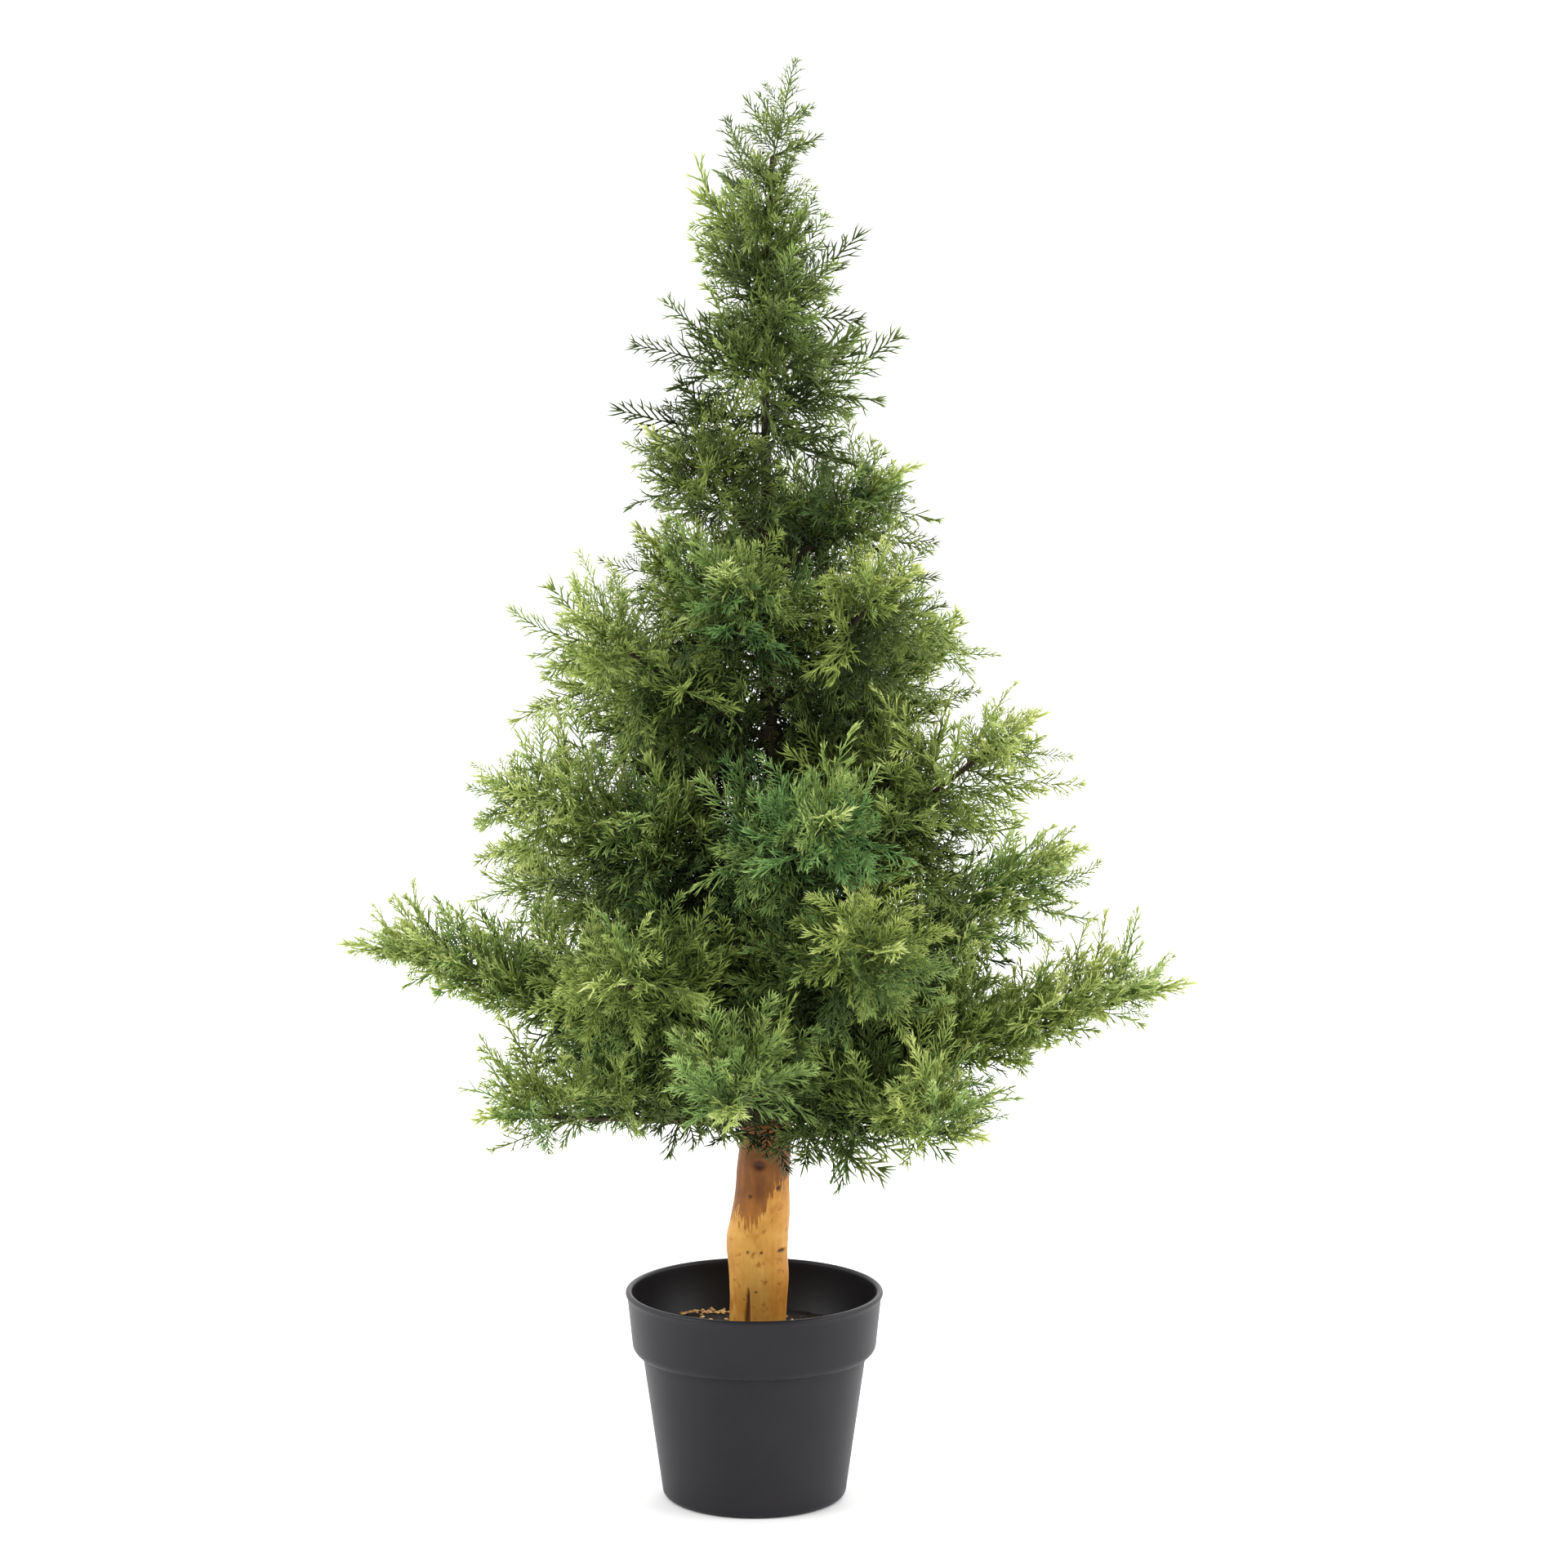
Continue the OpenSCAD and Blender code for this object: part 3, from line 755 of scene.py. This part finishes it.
def build_branch(index, joint):
    """One branch: its wire, a short plume at its foot, a longer one along it and sprigs at its tip."""
    body = joint["child"]
    rng = np.random.default_rng(SEED * 100 + index)
    bend, direction, wire_length, reach = wire_line(joint)
    lower = LEVEL.get(index, 0.0)
    arch = rng.uniform(0.01, 0.03) - 0.12 * lower
    at = arched(bend, direction, reach, arch * reach, rng.uniform(-0.03, 0.03) * reach)
    stations = np.concatenate([np.linspace(-9, 6, 8) * MM, np.linspace(9 * MM, wire_length, 26)])
    radii = 2.0 * MM * (1 - 0.42 * np.clip(stations / reach, 0, 1))
    bent_wire(body, at, stations, radii, direction)

    # how far to the front it points, how low, in the middle or high it sits, and how long it is
    front = max(-direction[1], 0)
    low = smoothstep(300 * MM, 250 * MM, bend[2])
    middle = smoothstep(350 * MM, 385 * MM, bend[2]) * smoothstep(510 * MM, 470 * MM, bend[2])
    raised = middle * smoothstep(430 * MM, 400 * MM, bend[2])
    high = smoothstep(500 * MM, 600 * MM, bend[2])
    arm = smoothstep(230 * MM, 255 * MM, reach)
    full = 0.66 + 0.34 * reach / LONGEST
    shade = GREEN_LIGHT_AND_SHADE.get(index, 1.0)
    cool = BLUISH.get(index, rng.uniform(0.0, 0.35))
    sag = 0.9 - 0.85 * low
    flat = 0.25 + 1.1 * low
    blunt = 46 - 24 * arm + 12 * front * (1 - low) + FULLER.get(index, 0)

    leaves = Foliage(SEED * 1000 + index)
    # painted shade: the short plume by the pole is painted dark, the long one lightens outwards, and
    # less so where the branch points to the front
    plume(
        leaves, at, reach,
        span=(6 * MM, 0.42 * reach),
        pitch=(5.5 - 2.3 * middle) * MM,
        sizes=(80 * MM * full, 96 * MM * full),
        spreads=(88, 58),
        sag=sag,
        lift=0.10 + (0.3 + 0.4 * front) * low + 0.5 * high + 0.45 * raised,
        droop=-0.2 * low,
        flat=flat,
        fresh=(0.05 * shade, 0.30 * shade),
        cool=cool,
    )
    plume(
        leaves, at, reach,
        span=(16 * MM + 0.05 * reach, wire_length - 2 * MM),
        pitch=SPRAY_PITCH,
        sizes=((102 - 10 * arm) * MM * full, 66 * MM * full),
        spreads=(66 - 16 * arm, blunt),
        sag=sag,
        lift=0.20 + (0.4 + 0.3 * front) * low - lower,
        droop=0.25 * front * (1 - low) - 0.2 * low,
        flat=flat,
        fresh=(0.25 * shade, (1.15 - 0.4 * front) * shade),
        cool=cool,
    )
    if index == HANGING:
        for s, fall, long, green in HANGING_SPRIGS:
            heading, facing = np.array([0.92, -0.2, fall]), np.array([0.1, -1.0, 0.3])
            leaves.add(at(s), heading, facing, long, -0.2, green, 0.05, SPRIGS)
    start = at(wire_length - 6 * MM)
    side = frame_along(direction)[0]
    for turn in (-0.30, 0.26, 0.0):
        heading = unit(at(reach) - start + turn * 30 * MM * side)
        longer = (reach - wire_length + 6 * MM) * (1 - 0.5 * abs(turn))
        facing = UP + rng.normal(0, 0.3, 3)
        leaves.add(start, heading, facing, longer, -0.05, 0.95, cool * 0.6, SPRIGS)
    leaves.build(body)


def branches():
    for index, joint in enumerate(j for j in frame["joints"] if j["child"].startswith("branch_")):
        build_branch(index + 1, joint)


def loose_parts(node):
    """Vertices of each separate solid in one CAD node."""
    co = node_points(node)
    _, same = np.unique(np.round(co / (0.01 * MM)).astype(np.int64), axis=0, return_inverse=True)
    same = same.ravel()
    parent = list(range(same.max() + 1))

    def top(i):
        while parent[i] != i:
            i = parent[i]
        return i

    for e in frame["nodes"][node].data.edges:
        parent[top(same[e.vertices[0]])] = top(same[e.vertices[1]])
    groups = {}
    for i, vertex in enumerate(same):
        groups.setdefault(top(vertex), []).append(i)
    return [co[group] for group in groups.values()]


def build_crown(joint):
    """Bendable top: a wire with sprays all round it, and a few along each spray of the CAD."""
    body = joint["child"]
    bend, direction, length, reach = wire_line(joint)
    at = arched(bend, direction, reach, 2 * MM, 2.5 * MM)
    stations = np.concatenate([np.linspace(-9, 8, 8) * MM, np.linspace(12 * MM, length, 24)])
    radii = 2.6 * MM * (1 - 0.45 * np.clip(stations / reach, 0, 1))
    bent_wire(body, at, stations, radii, direction)

    leaves = Foliage(SEED * 77)
    rng = leaves.rng
    for k in range(CROWN_SPRAYS):
        turn = k + rng.uniform(-0.3, 0.3)
        s = float(np.interp(turn, (0, CROWN_SPRAYS - 1), (4 * MM, length - 42 * MM)))
        u = s / reach
        tangent = unit(at(s + MM) - at(s - MM))
        side, up = frame_along(tangent)
        across = math.cos(GOLDEN * k) * side + math.sin(GOLDEN * k) * up
        spread = math.radians(60 - 34 * u + 40 * smoothstep(0.24, 0.05, u) + rng.normal(0, 7))
        heading = unit(math.cos(spread) * tangent + math.sin(spread) * across)
        # sprays on the upper right are short, and a patch on the left is paler
        bare = 1 - 0.75 * smoothstep(0.3, 0.55, u) * smoothstep(0.0, 0.6, across[0])
        long = (96 - 42 * u) * bare * rng.uniform(0.60, 1.15) * MM
        kinds = SPRIGS if k % 2 and long < 76 * MM else SPRAYS
        facing = 0.9 * across + rng.normal(0, 0.45, 3)
        pale = math.exp(-((u - 0.42) / 0.12) ** 2) * smoothstep(0.1, 0.8, -across[0])
        # painted shade: sprays low on the crown, by the leader, are painted darker than those higher up
        green = 0.06 + 0.34 * u + 0.5 * pale + rng.normal(0, 0.10)
        leaves.add(at(s), heading, facing, max(long, 30 * MM), rng.uniform(-0.2, 0.2), green,
                   rng.uniform(0.0, 0.3), kinds)
    for part in loose_parts(body + "_sprays"):
        along = np.clip((part - bend) @ direction, 0, length - 2 * MM)
        out = np.linalg.norm(part - bend - np.outer(along, direction), axis=1)
        root = at(float(along[np.argmin(out)]))
        tip = part[np.argmax(np.linalg.norm(part - root, axis=1))]
        for share, turn in ((1.0, 0.0), (0.82, 0.28), (0.74, -0.32)):
            heading = unit(tip - root) + turn * np.array([-direction[1], 1, 0.3])
            facing = rng.normal(0, 0.4, 3) - [0, 1, 0]
            leaves.add(root, heading, facing, np.linalg.norm(tip - root) * share, 0.0,
                       rng.uniform(0.25, 0.65), rng.uniform(0, 0.4))
    leaves.build(body)


# ---------------------------------------------------------------- stem


def build_leader():
    """Wrapped leader stem, seen between the upper branches."""
    foot, head = axis_ends(node_points("leader_stem"), 2 * MM)
    s = np.linspace(0, 1, 70)
    path = foot + np.outer(s, head - foot)
    radii = (4.0 - 0.9 * s) * MM

    def turns(i, a):
        return 1 + 0.05 * np.sin(a + 0.9 * i) + 0.03 * np.sin(3 * a - 0.5 * i)

    stem = make_object("wrapped_leader", *sweep(path, radii, turns, 16), WRAP)
    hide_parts("leader_stem")


def remeshed(node, name, material):
    """Copy of a CAD node with an even, dense skin."""
    piece = bpy.data.objects.new(name, frame["nodes"][node].data.copy())
    bpy.context.scene.collection.objects.link(piece)
    remesh = piece.modifiers.new("remesh", "REMESH")
    remesh.mode = "VOXEL"
    remesh.voxel_size = TRUNK_VOXEL
    remesh.use_smooth_shade = True
    mesh = bpy.data.meshes.new_from_object(piece.evaluated_get(bpy.context.evaluated_depsgraph_get()))
    piece.modifiers.clear()
    piece.data = mesh
    mesh.materials.clear()
    mesh.materials.append(material)
    return piece


def trunk_marks(across, z, front):
    """Knots and specks: how dark each vertex is, and how far it is pushed out, in mm."""
    dark, push = np.zeros(len(z)), np.zeros(len(z))
    for x, h, half_w, half_h, deep in TRUNK_MARKS:
        far = np.sqrt(((across - x) / half_w) ** 2 + ((z - h) / half_h) ** 2)
        dark = np.maximum(dark, front * smoothstep(1.25, 0.55, far))
        collar = 0.5 * deep * np.exp(-((far - 1.4) / 0.6) ** 2)
        push += front * (collar - deep * smoothstep(1.1, 0.2, far))
    return dark, push


def trunk_crack(across, z, front):
    """How far inside the drying crack each vertex is: the crack closes towards its top."""
    up = (z - CRACK_LOW) / (CRACK_HIGH - CRACK_LOW)
    half = CRACK_WIDE * np.sqrt(1 - np.clip(up, 0, 1)) * smoothstep(-0.06, 0.06, up)
    off = np.abs(across - CRACK_X) / np.maximum(half, 0.25)
    ends = smoothstep(CRACK_LOW - 1, CRACK_LOW + 1, z) * smoothstep(CRACK_HIGH + 1, CRACK_HIGH - 1, z)
    return front * smoothstep(1.15, 0.65, off) * (half > 0.1) * ends


def trunk_lumps(co, z, angle):
    """Broad, uneven shape of a peeled pole, in mm: swellings, lumps, flutes and an oval section."""
    swell = np.array([noise.noise(Vector(point * 34)) for point in co])
    lumps = np.array([noise.noise(Vector((x * 120, y * 120, h * 60))) for x, y, h in co])
    flutes = np.array([noise.noise(Vector((math.cos(a) * 9, math.sin(a) * 9, h * 0.02)))
                       for a, h in zip(angle, z)])
    return 0.55 * swell + 0.28 * lumps + 0.22 * flutes + 0.35 * np.cos(2 * angle + z * 0.012)


def build_trunk():
    """Peeled pole: the CAD trunk with an uneven skin, knots, a drying crack and a stain."""
    piece = remeshed("trunk", "peeled_pole", WOOD)
    mesh = piece.data
    co = vertices(mesh)
    foot, head = axis_ends(co, 3 * MM)
    share = (co[:, 2] - foot[2]) / (head[2] - foot[2])
    off = co - (foot + np.outer(share, head - foot))
    off[:, 2] = 0
    radius = np.linalg.norm(off, axis=1)
    angle = np.arctan2(off[:, 1], off[:, 0])
    across, z = off[:, 0] / MM, co[:, 2] / MM
    # 0 on the axis and 1 on the skin, so that the flat ends move with the skin
    skin = np.clip(radius / MM / np.interp(z, TRUNK_HEIGHTS, TRUNK_RADII), 0, 1)
    front = smoothstep(0.1, -0.3, np.sin(angle))

    dark, push = trunk_marks(across, z, front)
    inside = trunk_crack(across, z, front)
    push = (trunk_lumps(co, z, angle) + push - CRACK_DEEP * inside) * skin
    shift = 1.2 - 1.9 * np.exp(-((z - 163) / 17) ** 2) + 0.9 * smoothstep(190, 240, z)
    co += off / np.maximum(radius, 1e-9)[:, None] * (push * MM)[:, None]
    co[:, 0] += shift * MM * skin
    mesh.vertices.foreach_set("co", co.astype(np.float32).ravel())

    # height above the lower edge of the stain, in steps of 10 mm
    edge = np.interp(across, STAIN_ACROSS, STAIN_HEIGHTS) * front
    edge += (186 + 14 * np.sin(angle + 0.6)) * (1 - front)
    # the crack is painted as dark as the knots: painted shade in the crack
    add_attributes(mesh, {"stain": (z - edge) / 10, "knot_and_crack_shade": np.maximum(dark, 0.85 * inside)})
    mesh.update()
    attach(piece, ROOT)
    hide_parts("trunk")


# ---------------------------------------------------------------- pot and contents


def arc(cx, cz, r, start, end, steps, rz=None):
    """Points on an arc in the (radius, height) plane, angles in degrees."""
    rz = rz or r
    return [(cx + r * math.cos(math.radians(a)), cz + rz * math.sin(math.radians(a)))
            for a in np.linspace(start, end, steps)]


def pot_outline(rim, height):
    """Section of the pot from axis to axis, outside first, and the number of points outside."""
    base, edge, wall, lip = 57.5 * MM, 5 * MM, 2.2 * MM, 2 * MM
    step, band = base + 12 * MM, rim - 4 * MM
    step_z, band_z = height - 41 * MM, height - 33 * MM
    outline = [(0, 1.2 * MM), (base - 14 * MM, 1.2 * MM), (base - 12 * MM, 0.1 * MM)]
    outline += arc(base - edge, edge, edge, -88, 0, 9)
    outline += [(base + (step - base) * t, edge + (step_z - edge) * t) for t in (0.25, 0.5, 0.75, 0.94)]
    outline += [(step - 0.1 * MM, step_z - 1.6 * MM)]
    outline += arc(step + 0.6 * MM, step_z, 0.7 * MM, 180, 120, 3)
    outline += arc(band - 6.4 * MM, band_z, 6.4 * MM, -80, 0, 10, rz=7.4 * MM)
    outline += [(band + (rim - lip - band) * t + 0.9 * MM * t, band_z + (height - 4 * MM - band_z) * t)
                for t in (0.3, 0.6, 0.93)]
    outline += arc(rim - lip, height - lip, lip, -50, 180, 16)
    outside = len(outline)
    outline += [(rim - 2 * lip, height - 5 * MM), (band - wall, band_z), (step - wall, step_z)]
    outline += [(base - wall, edge), (base - 5 * MM, 3 * MM), (0, 3 * MM)]
    return outline, outside


def build_pot():
    """Nursery pot turned to the size of the CAD one."""
    low, high = (np.array(c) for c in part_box("pot"))
    height = high[2]
    outline, outside = pot_outline((high[0] - low[0]) / 2, height)
    verts, tris = lathe(outline)
    # the thin rim is a little out of round
    x, y = verts[:, 0], verts[:, 1]
    wobble = 0.25 * MM * np.cos(2 * np.arctan2(y, x) + 0.7) * verts[:, 2] / height
    verts[:, :2] *= (1 + wobble / np.maximum(np.hypot(x, y), 1e-9))[:, None]
    # painted shade: the faces inside the rim get a mark that darkens their colour
    ring = np.minimum(np.arange(len(verts)) // LATHE_STEPS, len(outline) - 3)
    inside = smoothstep(outside - 4, outside, ring + 1.0)
    pot = make_object("nursery_pot", verts, tris, POT, inside=inside)
    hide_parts("pot")


def build_filler():
    """Uneven disc of filler round the trunk, with crumbs of wood on it."""
    low, high = (np.array(c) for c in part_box("filler"))
    outer = (high[0] - low[0]) / 2 - 0.2 * MM
    rings, steps = 46, 120
    r = np.linspace(15 * MM, outer, rings)
    a = np.arange(steps) * 2 * math.pi / steps
    rr, aa = np.meshgrid(r, a, indexing="ij")
    x, y = (rr * np.cos(aa)).ravel(), (rr * np.sin(aa)).ravel()
    waves = np.array([noise.noise(Vector((p * 90, q * 90, 0))) for p, q in zip(x, y)])
    grains = np.array([noise.noise(Vector((p * 300, q * 300, 5))) for p, q in zip(x, y)])
    top = high[2] - 1.2 * MM + (waves + 0.5 * grains) * 1.1 * MM
    top -= 1.5 * MM * smoothstep(outer - 6 * MM, outer, np.hypot(x, y))
    upper = np.column_stack([x, y, top])
    lower = np.column_stack([x, y, np.full(len(x), low[2] + 0.5 * MM)])
    verts = np.vstack([upper, lower])
    n, tris = rings * steps, []
    for i in range(rings - 1):
        for k in range(steps):
            p, q = i * steps + k, i * steps + (k + 1) % steps
            tris += [(p, p + steps, q + steps), (p, q + steps, q)]
            tris += [(n + p, n + q + steps, n + p + steps), (n + p, n + q, n + q + steps)]
    for k in range(steps):
        q = (k + 1) % steps
        tris += [(k, q, n + q), (k, n + q, n + k)]
        e, f = (rings - 1) * steps + k, (rings - 1) * steps + q
        tris += [(e, n + f, f), (e, n + e, n + f)]
    piece = make_object("filler_surface", verts, np.array(tris), FILLER)
    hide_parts("filler")
    build_crumbs(high[2])


def build_crumbs(level):
    """Wood crumbs on the filler, most of them in a line at the back left of the pole."""
    rng = np.random.default_rng(SEED + 5)
    octahedron = np.array([[1, 0, 0], [-1, 0, 0], [0, 1, 0], [0, -1, 0], [0, 0, 1], [0, 0, -1]], float)
    faces = np.array([(0, 2, 4), (2, 1, 4), (1, 3, 4), (3, 0, 4),
                      (2, 0, 5), (1, 2, 5), (3, 1, 5), (0, 3, 5)])
    verts, tris = [], []
    for k in range(CRUMB_COUNT):
        if k < CRUMBS_IN_LINE:
            centre = np.array([rng.uniform(-48, -18), rng.normal(52, 3), 0])
            centre *= min(1, 65 / np.linalg.norm(centre)) * MM
        else:
            a, r = rng.uniform(0, 2 * math.pi), rng.uniform(22, 62) * MM
            centre = np.array([r * math.cos(a), r * math.sin(a), 0])
        centre[2] = level - 0.3 * MM
        size = rng.uniform(0.8, 2.0) * MM * np.array([1.3, 0.9, 0.6])
        corners = octahedron * size * rng.uniform(0.7, 1.3, (6, 3))
        spin = rng.uniform(0, math.pi)
        c, s = math.cos(spin), math.sin(spin)
        tris.append(faces + len(octahedron) * k)
        verts.append(centre + corners @ np.array([[c, -s, 0], [s, c, 0], [0, 0, 1]]).T)
    piece = make_object("wood_crumbs", np.concatenate(verts), np.concatenate(tris), CRUMBS, smooth=False)


def dress_cad_nodes():
    """Materials for the nodes that are shown as the CAD has them."""
    for node, material in (("cement_ballast", CEMENT), ("anchor_nails", NAIL),
                           ("branch_pins", WRAP), ("leader_ties", WRAP)):
        slots = frame["nodes"][node].data.materials
        slots.clear()
        slots.append(material)


# ---------------------------------------------------------------- studio


def light_room(tree):
    """White room to look at, whose light comes more from the back than from the front."""
    background = tree.nodes["Background"]
    background.inputs["Color"].default_value = (1, 1, 1, 1)
    place = tree.nodes.new("ShaderNodeTexCoord").outputs["Generated"]
    split = tree.nodes.new("ShaderNodeSeparateXYZ")
    tree.links.new(place, split.inputs[0])
    fall = tree.nodes.new("ShaderNodeMapRange")
    fall.interpolation_type = "SMOOTHSTEP"
    tree.links.new(split.outputs["Y"], fall.inputs["Value"])
    for socket, value in zip(list(fall.inputs)[1:5], (-1.0, 0.3, ROOM_FRONT, ROOM_BACK)):
        socket.default_value = value
    seen = tree.nodes.new("ShaderNodeMix")
    tree.links.new(tree.nodes.new("ShaderNodeLightPath").outputs["Is Camera Ray"], seen.inputs["Factor"])
    tree.links.new(fall.outputs[0], seen.inputs[2])
    seen.inputs[3].default_value = ROOM_SEEN
    tree.links.new(seen.outputs[0], background.inputs["Strength"])


def look_from(ob, place, aim):
    """Puts a lamp or a camera at a place and turns it to an aim."""
    ob.location = place
    ob.rotation_euler = (Vector(aim) - Vector(place)).to_track_quat("-Z", "Y").to_euler()
    bpy.context.scene.collection.objects.link(ob)


def lamp(name, place, size, power):
    """Square soft light aimed at the middle of the tree."""
    data = bpy.data.lights.new(name, "AREA")
    data.size = size
    data.energy = power
    look_from(bpy.data.objects.new(name, data), place, (0, 0, 0.45))


def studio():
    """White room, pale floor and three soft lamps."""
    scene = bpy.context.scene
    scene.view_settings.view_transform = "Standard"
    world = bpy.data.worlds.new("studio")
    scene.world = world
    world.use_nodes = True
    light_room(world.node_tree)
    corners = np.array([[-20, -20, 0], [20, -20, 0], [20, 20, 0], [-20, 20, 0]], float)
    floor = make_object("floor", corners, np.array([[0, 1, 2, 3]]), floor_material(), body=None)
    lamp("key", (-2.4, -0.9, 1.9), 1.6, 42)
    lamp("fill", (2.5, -0.6, 1.5), 1.8, 38)
    lamp("rim", (0.6, 2.2, 1.8), 1.6, 22)


def camera():
    """Long lens, a little above the tree and looking slightly down."""
    data = bpy.data.cameras.new("camera")
    data.lens = CAMERA_LENS
    data.sensor_width = 36
    ob = bpy.data.objects.new("camera", data)
    look_from(ob, CAMERA_PLACE, CAMERA_AIM)
    bpy.context.scene.camera = ob


camera()
studio()
build_pot()
build_filler()
build_trunk()
build_leader()
branches()
build_crown(next(j for j in frame["joints"] if j["child"] == "crown"))
dress_cad_nodes()
